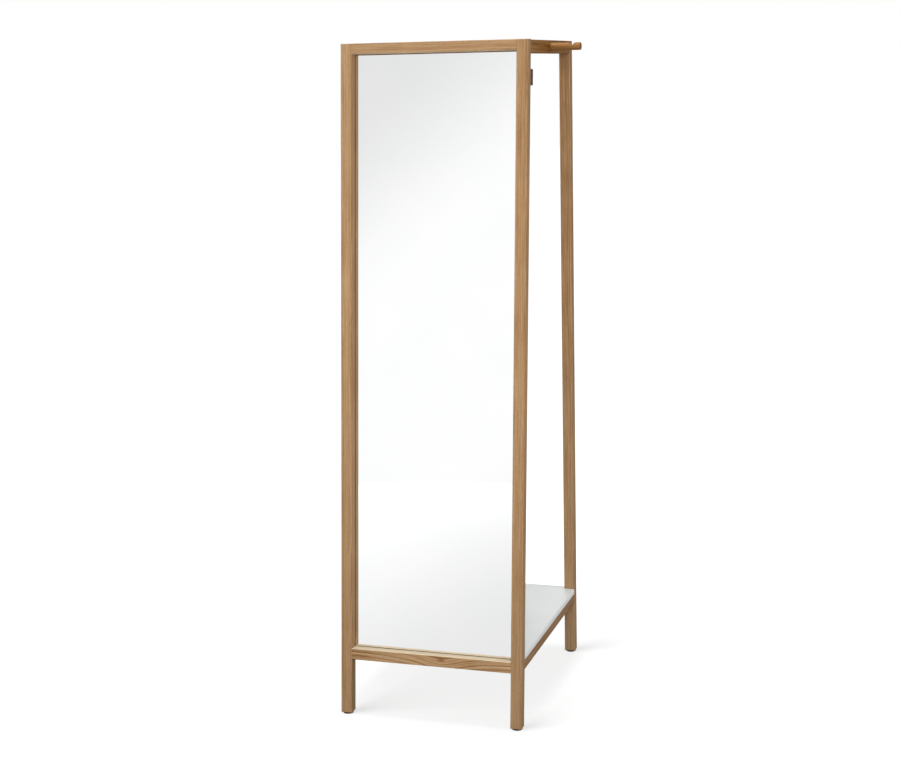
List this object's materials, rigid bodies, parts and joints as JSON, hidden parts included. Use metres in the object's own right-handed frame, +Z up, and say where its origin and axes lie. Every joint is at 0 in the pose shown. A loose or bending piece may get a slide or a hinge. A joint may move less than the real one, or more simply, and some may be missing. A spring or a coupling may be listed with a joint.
{
  "type": "floor mirror with coat stand",
  "caption": "Free-standing full-length mirror in a slim oak frame that leans back, with a hanging rod, a hook rail and a low white shelf behind it.",
  "frame": {"origin": "on the floor, at the middle of the footprint", "axes": "+X to the right of a person who looks into the mirror, +Y to the back, +Z up"},
  "size_m": [0.66, 0.64, 1.765],
  "materials": {
    "oak_upright": "matt clear-lacquered oak, grain along the post",
    "oak_cross": "matt clear-lacquered oak, grain along the rail",
    "oak_side": "matt clear-lacquered oak, grain along the rail",
    "oak_round": "matt clear-lacquered oak, turned",
    "oak_hook_rail": "matt clear-lacquered oak, grain along the rail",
    "mirror": "silvered float glass with polished edges",
    "tape": "white double-sided foam tape",
    "backing_board": "brown hardboard",
    "shelf_white": "board with a satin pale grey-white surface",
    "glide": "dark brown moulded plastic",
    "zinc": "zinc-plated steel",
    "beech": "plain fluted beech"
  },
  "bodies": {
    "root": {"front_post_left": "oak_upright", "front_post_right": "oak_upright", "front_top_rail": "oak_cross", "front_bottom_rail": "oak_cross", "rear_post_left": "oak_upright", "rear_post_right": "oak_upright", "rear_top_rail": "oak_cross", "rear_lower_rail": "oak_cross", "side_top_rail_left": "oak_side", "side_top_rail_right": "oak_side", "side_lower_rail_left": "oak_side", "side_lower_rail_right": "oak_side", "mirror_glass": "mirror", "mirror_tape": "tape", "backing_board": "backing_board", "board_screws": "zinc", "shelf": "shelf_white", "shelf_screws": "zinc", "hanging_rod": "oak_round", "rod_screws": "zinc", "hook_rail": "oak_hook_rail", "hook_rail_screws": "zinc", "coat_peg_left": "oak_round", "coat_peg_centre": "oak_round", "coat_peg_right": "oak_round", "glide_front_left": "glide", "glide_front_right": "glide", "glide_rear_left": "glide", "glide_rear_right": "glide", "cams": "zinc", "cam_bolts": "zinc", "locating_dowels": "beech"}
  },
  "joints": []
}
